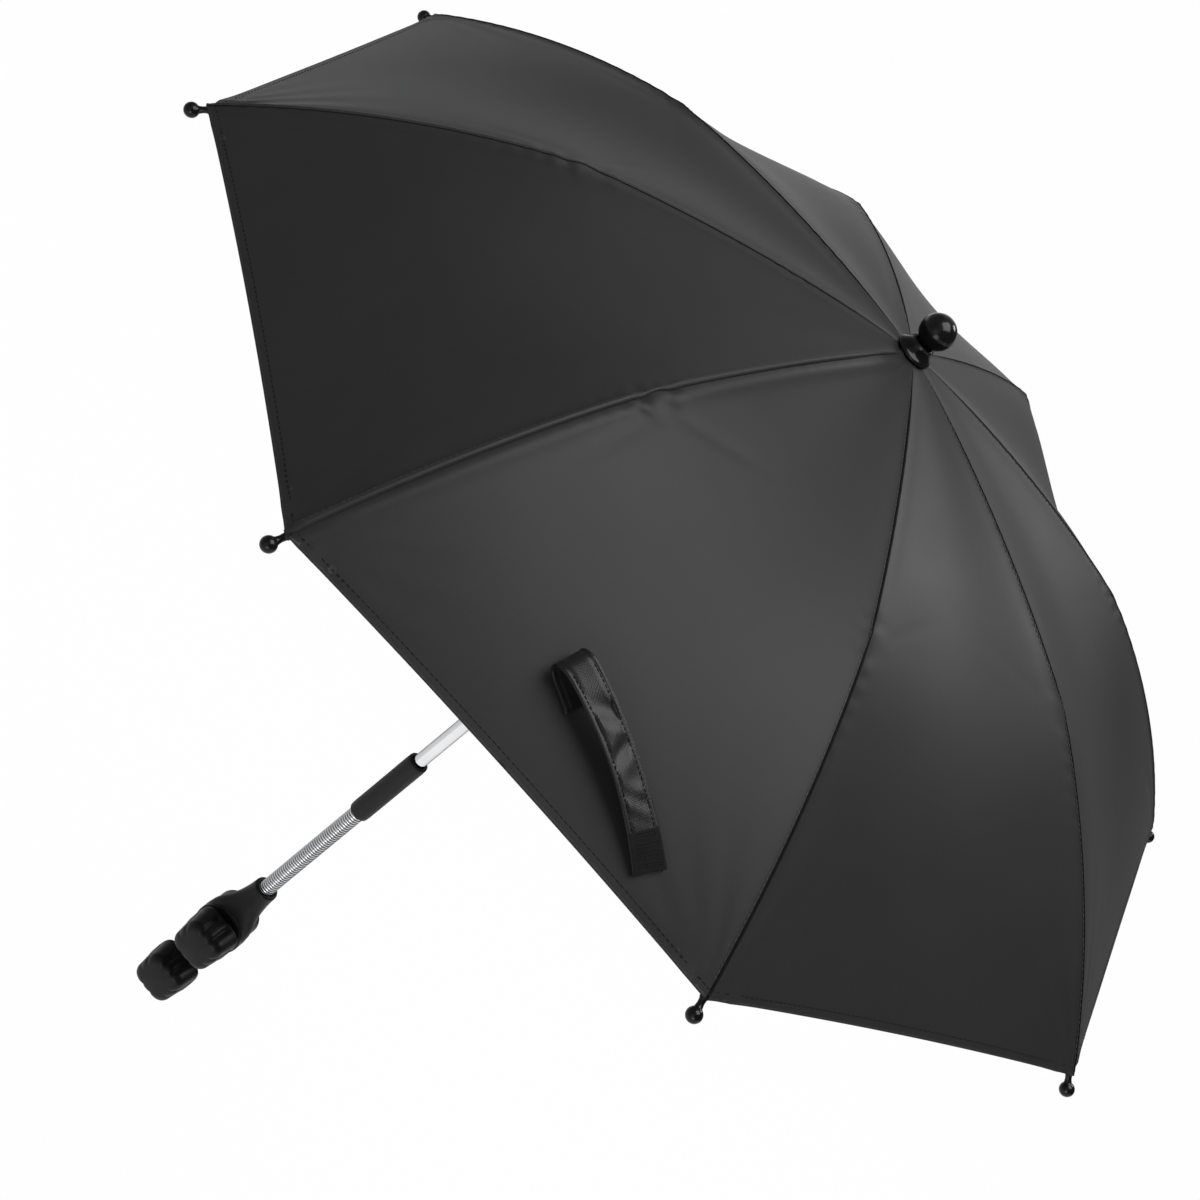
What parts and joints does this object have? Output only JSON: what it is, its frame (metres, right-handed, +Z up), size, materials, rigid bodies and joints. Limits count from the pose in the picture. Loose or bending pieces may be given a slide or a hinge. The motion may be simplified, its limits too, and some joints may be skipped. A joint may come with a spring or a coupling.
{
  "type": "pram parasol",
  "caption": "Folding black cloth parasol on a chromed pole with a coiled bendable gooseneck and a screw clamp that grips a pram's frame tube.",
  "frame": {"origin": "middle of the clamp's grip, on the axis of the tube that it holds", "axes": "+Z up along the pole, +X along the gripped tube, knobs towards -Y"},
  "size_m": [0.7206, 0.7206, 0.7724],
  "materials": {
    "black_cloth": "closely woven matt polyester",
    "black_gloss_plastic": "polished moulding",
    "black_plastic": "fine moulded grain",
    "black_rubber": "soft grip rubber",
    "chrome": "bright plating",
    "bright_steel": "plain steel",
    "black_steel": "satin black paint"
  },
  "bodies": {
    "clamp": {"clamp_block": "black_plastic", "fixed_jaw": "chrome", "fixed_pad": "black_rubber", "jaw_pin": "bright_steel", "clamp_nuts": "bright_steel"},
    "moving_jaw": {"moving_jaw": "chrome", "moving_pad": "black_rubber"},
    "jaw_washer": {"jaw_washer": "black_plastic"},
    "jaw_knob": {"jaw_knob": "black_plastic", "jaw_screw": "bright_steel"},
    "pivot_knob": {"pivot_knob": "black_plastic", "pivot_screw": "bright_steel"},
    "swivel_arm": {"swivel_arm": "black_plastic", "gooseneck_coil": "chrome"},
    "neck_core_1": {"neck_core_1": "bright_steel"},
    "neck_core_2": {"neck_core_2": "bright_steel"},
    "neck_core_3": {"neck_core_3": "bright_steel"},
    "neck_core_4": {"neck_core_4": "bright_steel"},
    "neck_core_5": {"neck_core_5": "bright_steel"},
    "pole": {"pole": "chrome", "pole_sleeve": "black_rubber", "top_notch": "black_plastic", "ferrule_cap": "black_gloss_plastic", "finial_ball": "black_gloss_plastic", "catch_spring": "bright_steel", "canopy": "black_cloth", "tie_strap": "black_cloth"},
    "runner": {"runner": "black_plastic"},
    "inner_rib_1": {"inner_rib_1": "black_steel"},
    "outer_rib_1": {"outer_rib_1": "black_steel", "rib_tip_1": "black_gloss_plastic"},
    "stretcher_1": {"stretcher_1": "black_steel"},
    "inner_rib_2": {"inner_rib_2": "black_steel"},
    "outer_rib_2": {"outer_rib_2": "black_steel", "rib_tip_2": "black_gloss_plastic"},
    "stretcher_2": {"stretcher_2": "black_steel"},
    "inner_rib_3": {"inner_rib_3": "black_steel"},
    "outer_rib_3": {"outer_rib_3": "black_steel", "rib_tip_3": "black_gloss_plastic"},
    "stretcher_3": {"stretcher_3": "black_steel"},
    "inner_rib_4": {"inner_rib_4": "black_steel"},
    "outer_rib_4": {"outer_rib_4": "black_steel", "rib_tip_4": "black_gloss_plastic"},
    "stretcher_4": {"stretcher_4": "black_steel"},
    "inner_rib_5": {"inner_rib_5": "black_steel"},
    "outer_rib_5": {"outer_rib_5": "black_steel", "rib_tip_5": "black_gloss_plastic"},
    "stretcher_5": {"stretcher_5": "black_steel"},
    "inner_rib_6": {"inner_rib_6": "black_steel"},
    "outer_rib_6": {"outer_rib_6": "black_steel", "rib_tip_6": "black_gloss_plastic"},
    "stretcher_6": {"stretcher_6": "black_steel"},
    "inner_rib_7": {"inner_rib_7": "black_steel"},
    "outer_rib_7": {"outer_rib_7": "black_steel", "rib_tip_7": "black_gloss_plastic"},
    "stretcher_7": {"stretcher_7": "black_steel"},
    "inner_rib_8": {"inner_rib_8": "black_steel"},
    "outer_rib_8": {"outer_rib_8": "black_steel", "rib_tip_8": "black_gloss_plastic"},
    "stretcher_8": {"stretcher_8": "black_steel"}
  },
  "joints": [
    {"name": "arm_tilt", "type": "hinge", "parent": "clamp", "child": "swivel_arm", "pos_m": [0, 0, 0.076], "axis": [0, 1, 0], "range_deg": [-90, 90]},
    {"name": "pivot_knob_turn", "type": "hinge", "parent": "clamp", "child": "pivot_knob", "pos_m": [0, -0.013, 0.076], "axis": [0, -1, 0], "range_deg": [0, 360]},
    {"name": "jaw_washer_slide", "type": "slide", "parent": "clamp", "child": "jaw_washer", "axis": [0, -1, 0], "range_m": [0, 0.0085]},
    {"name": "jaw_knob_turn", "type": "hinge", "parent": "jaw_washer", "child": "jaw_knob", "pos_m": [0, -0.008, 0.024], "axis": [0, -1, 0], "range_deg": [0, 3060]},
    {"name": "moving_jaw_swing", "type": "hinge", "parent": "clamp", "child": "moving_jaw", "pos_m": [0, -0.00395, 0.0485], "axis": [-1, 0, 0], "range_deg": [0, 11]},
    {"name": "neck_bend_1", "type": "hinge", "parent": "swivel_arm", "child": "neck_core_1", "pos_m": [0, 0, 0.13267], "axis": [1, 0, 0], "range_deg": [-25, 25], "deforming": ["gooseneck_coil"]},
    {"name": "neck_lean_1", "type": "hinge", "parent": "neck_core_1", "child": "neck_core_2", "pos_m": [0, 0, 0.15], "axis": [0, 1, 0], "range_deg": [-25, 25], "deforming": ["gooseneck_coil"]},
    {"name": "neck_bend_2", "type": "hinge", "parent": "neck_core_2", "child": "neck_core_3", "pos_m": [0, 0, 0.16733], "axis": [1, 0, 0], "range_deg": [-25, 25], "deforming": ["gooseneck_coil"]},
    {"name": "neck_lean_2", "type": "hinge", "parent": "neck_core_3", "child": "neck_core_4", "pos_m": [0, 0, 0.18467], "axis": [0, 1, 0], "range_deg": [-25, 25], "deforming": ["gooseneck_coil"]},
    {"name": "neck_bend_3", "type": "hinge", "parent": "neck_core_4", "child": "neck_core_5", "pos_m": [0, 0, 0.202], "axis": [1, 0, 0], "range_deg": [-25, 25], "deforming": ["gooseneck_coil"]},
    {"name": "neck_lean_3", "type": "hinge", "parent": "neck_core_5", "child": "pole", "pos_m": [0, 0, 0.21933], "axis": [0, 1, 0], "range_deg": [-25, 25], "deforming": ["gooseneck_coil"]},
    {"name": "runner_slide", "type": "slide", "parent": "pole", "child": "runner", "axis": [0, 0, -1], "range_m": [0, 0.32064], "deforming": ["canopy", "tie_strap", "catch_spring"]},
    {"name": "inner_rib_1_fold", "type": "hinge", "parent": "pole", "child": "inner_rib_1", "pos_m": [0.0089, 0.00456, 0.724], "axis": [-0.4555, 0.8902, 0], "range_deg": [0, 76.61]},
    {"name": "outer_rib_1_fold", "type": "hinge", "parent": "inner_rib_1", "child": "outer_rib_1", "pos_m": [0.18338, 0.09384, 0.6845], "axis": [-0.4555, 0.8902, 0], "range_deg": [-29.81, 0]},
    {"name": "stretcher_1_fold", "type": "hinge", "parent": "inner_rib_1", "child": "stretcher_1", "pos_m": [0.18338, 0.09384, 0.6845], "axis": [-0.4555, 0.8902, 0], "range_deg": [-153.21, 0]},
    {"name": "inner_rib_2_fold", "type": "hinge", "parent": "pole", "child": "inner_rib_2", "pos_m": [0.00307, 0.00952, 0.724], "axis": [-0.9516, 0.3074, 0], "range_deg": [0, 76.61]},
    {"name": "outer_rib_2_fold", "type": "hinge", "parent": "inner_rib_2", "child": "outer_rib_2", "pos_m": [0.06332, 0.19603, 0.6845], "axis": [-0.9516, 0.3074, 0], "range_deg": [-29.81, 0]},
    {"name": "stretcher_2_fold", "type": "hinge", "parent": "inner_rib_2", "child": "stretcher_2", "pos_m": [0.06332, 0.19603, 0.6845], "axis": [-0.9516, 0.3074, 0], "range_deg": [-153.21, 0]},
    {"name": "inner_rib_3_fold", "type": "hinge", "parent": "pole", "child": "inner_rib_3", "pos_m": [-0.00456, 0.0089, 0.724], "axis": [-0.8902, -0.4555, 0], "range_deg": [0, 76.61]},
    {"name": "outer_rib_3_fold", "type": "hinge", "parent": "inner_rib_3", "child": "outer_rib_3", "pos_m": [-0.09384, 0.18338, 0.6845], "axis": [-0.8902, -0.4555, 0], "range_deg": [-29.81, 0]},
    {"name": "stretcher_3_fold", "type": "hinge", "parent": "inner_rib_3", "child": "stretcher_3", "pos_m": [-0.09384, 0.18338, 0.6845], "axis": [-0.8902, -0.4555, 0], "range_deg": [-153.21, 0]},
    {"name": "inner_rib_4_fold", "type": "hinge", "parent": "pole", "child": "inner_rib_4", "pos_m": [-0.00952, 0.00307, 0.724], "axis": [-0.3074, -0.9516, 0], "range_deg": [0, 76.61]},
    {"name": "outer_rib_4_fold", "type": "hinge", "parent": "inner_rib_4", "child": "outer_rib_4", "pos_m": [-0.19603, 0.06332, 0.6845], "axis": [-0.3074, -0.9516, 0], "range_deg": [-29.81, 0]},
    {"name": "stretcher_4_fold", "type": "hinge", "parent": "inner_rib_4", "child": "stretcher_4", "pos_m": [-0.19603, 0.06332, 0.6845], "axis": [-0.3074, -0.9516, 0], "range_deg": [-153.21, 0]},
    {"name": "inner_rib_5_fold", "type": "hinge", "parent": "pole", "child": "inner_rib_5", "pos_m": [-0.0089, -0.00456, 0.724], "axis": [0.4555, -0.8902, 0], "range_deg": [0, 76.61]},
    {"name": "outer_rib_5_fold", "type": "hinge", "parent": "inner_rib_5", "child": "outer_rib_5", "pos_m": [-0.18338, -0.09384, 0.6845], "axis": [0.4555, -0.8902, 0], "range_deg": [-29.81, 0]},
    {"name": "stretcher_5_fold", "type": "hinge", "parent": "inner_rib_5", "child": "stretcher_5", "pos_m": [-0.18338, -0.09384, 0.6845], "axis": [0.4555, -0.8902, 0], "range_deg": [-153.21, 0]},
    {"name": "inner_rib_6_fold", "type": "hinge", "parent": "pole", "child": "inner_rib_6", "pos_m": [-0.00307, -0.00952, 0.724], "axis": [0.9516, -0.3074, 0], "range_deg": [0, 76.61]},
    {"name": "outer_rib_6_fold", "type": "hinge", "parent": "inner_rib_6", "child": "outer_rib_6", "pos_m": [-0.06332, -0.19603, 0.6845], "axis": [0.9516, -0.3074, 0], "range_deg": [-29.81, 0]},
    {"name": "stretcher_6_fold", "type": "hinge", "parent": "inner_rib_6", "child": "stretcher_6", "pos_m": [-0.06332, -0.19603, 0.6845], "axis": [0.9516, -0.3074, 0], "range_deg": [-153.21, 0]},
    {"name": "inner_rib_7_fold", "type": "hinge", "parent": "pole", "child": "inner_rib_7", "pos_m": [0.00456, -0.0089, 0.724], "axis": [0.8902, 0.4555, 0], "range_deg": [0, 76.61]},
    {"name": "outer_rib_7_fold", "type": "hinge", "parent": "inner_rib_7", "child": "outer_rib_7", "pos_m": [0.09384, -0.18338, 0.6845], "axis": [0.8902, 0.4555, 0], "range_deg": [-29.81, 0]},
    {"name": "stretcher_7_fold", "type": "hinge", "parent": "inner_rib_7", "child": "stretcher_7", "pos_m": [0.09384, -0.18338, 0.6845], "axis": [0.8902, 0.4555, 0], "range_deg": [-153.21, 0]},
    {"name": "inner_rib_8_fold", "type": "hinge", "parent": "pole", "child": "inner_rib_8", "pos_m": [0.00952, -0.00307, 0.724], "axis": [0.3074, 0.9516, 0], "range_deg": [0, 76.61]},
    {"name": "outer_rib_8_fold", "type": "hinge", "parent": "inner_rib_8", "child": "outer_rib_8", "pos_m": [0.19603, -0.06332, 0.6845], "axis": [0.3074, 0.9516, 0], "range_deg": [-29.81, 0]},
    {"name": "stretcher_8_fold", "type": "hinge", "parent": "inner_rib_8", "child": "stretcher_8", "pos_m": [0.19603, -0.06332, 0.6845], "axis": [0.3074, 0.9516, 0], "range_deg": [-153.21, 0]}
  ],
  "couplings": [
    {"joint": "jaw_knob_turn", "follows": "jaw_washer_slide", "rad_per_m": 6283.2},
    {"joint": "moving_jaw_swing", "follows": "jaw_washer_slide", "rad_per_m": 22.587},
    {"joint": "inner_rib_1_fold", "follows": "runner_slide", "rad_per_m": 4.1699},
    {"joint": "outer_rib_1_fold", "follows": "runner_slide", "rad_per_m": -1.6228},
    {"joint": "stretcher_1_fold", "follows": "runner_slide", "rad_per_m": -8.3397},
    {"joint": "inner_rib_2_fold", "follows": "runner_slide", "rad_per_m": 4.1699},
    {"joint": "outer_rib_2_fold", "follows": "runner_slide", "rad_per_m": -1.6228},
    {"joint": "stretcher_2_fold", "follows": "runner_slide", "rad_per_m": -8.3397},
    {"joint": "inner_rib_3_fold", "follows": "runner_slide", "rad_per_m": 4.1699},
    {"joint": "outer_rib_3_fold", "follows": "runner_slide", "rad_per_m": -1.6228},
    {"joint": "stretcher_3_fold", "follows": "runner_slide", "rad_per_m": -8.3397},
    {"joint": "inner_rib_4_fold", "follows": "runner_slide", "rad_per_m": 4.1699},
    {"joint": "outer_rib_4_fold", "follows": "runner_slide", "rad_per_m": -1.6228},
    {"joint": "stretcher_4_fold", "follows": "runner_slide", "rad_per_m": -8.3397},
    {"joint": "inner_rib_5_fold", "follows": "runner_slide", "rad_per_m": 4.1699},
    {"joint": "outer_rib_5_fold", "follows": "runner_slide", "rad_per_m": -1.6228},
    {"joint": "stretcher_5_fold", "follows": "runner_slide", "rad_per_m": -8.3397},
    {"joint": "inner_rib_6_fold", "follows": "runner_slide", "rad_per_m": 4.1699},
    {"joint": "outer_rib_6_fold", "follows": "runner_slide", "rad_per_m": -1.6228},
    {"joint": "stretcher_6_fold", "follows": "runner_slide", "rad_per_m": -8.3397},
    {"joint": "inner_rib_7_fold", "follows": "runner_slide", "rad_per_m": 4.1699},
    {"joint": "outer_rib_7_fold", "follows": "runner_slide", "rad_per_m": -1.6228},
    {"joint": "stretcher_7_fold", "follows": "runner_slide", "rad_per_m": -8.3397},
    {"joint": "inner_rib_8_fold", "follows": "runner_slide", "rad_per_m": 4.1699},
    {"joint": "outer_rib_8_fold", "follows": "runner_slide", "rad_per_m": -1.6228},
    {"joint": "stretcher_8_fold", "follows": "runner_slide", "rad_per_m": -8.3397}
  ]
}
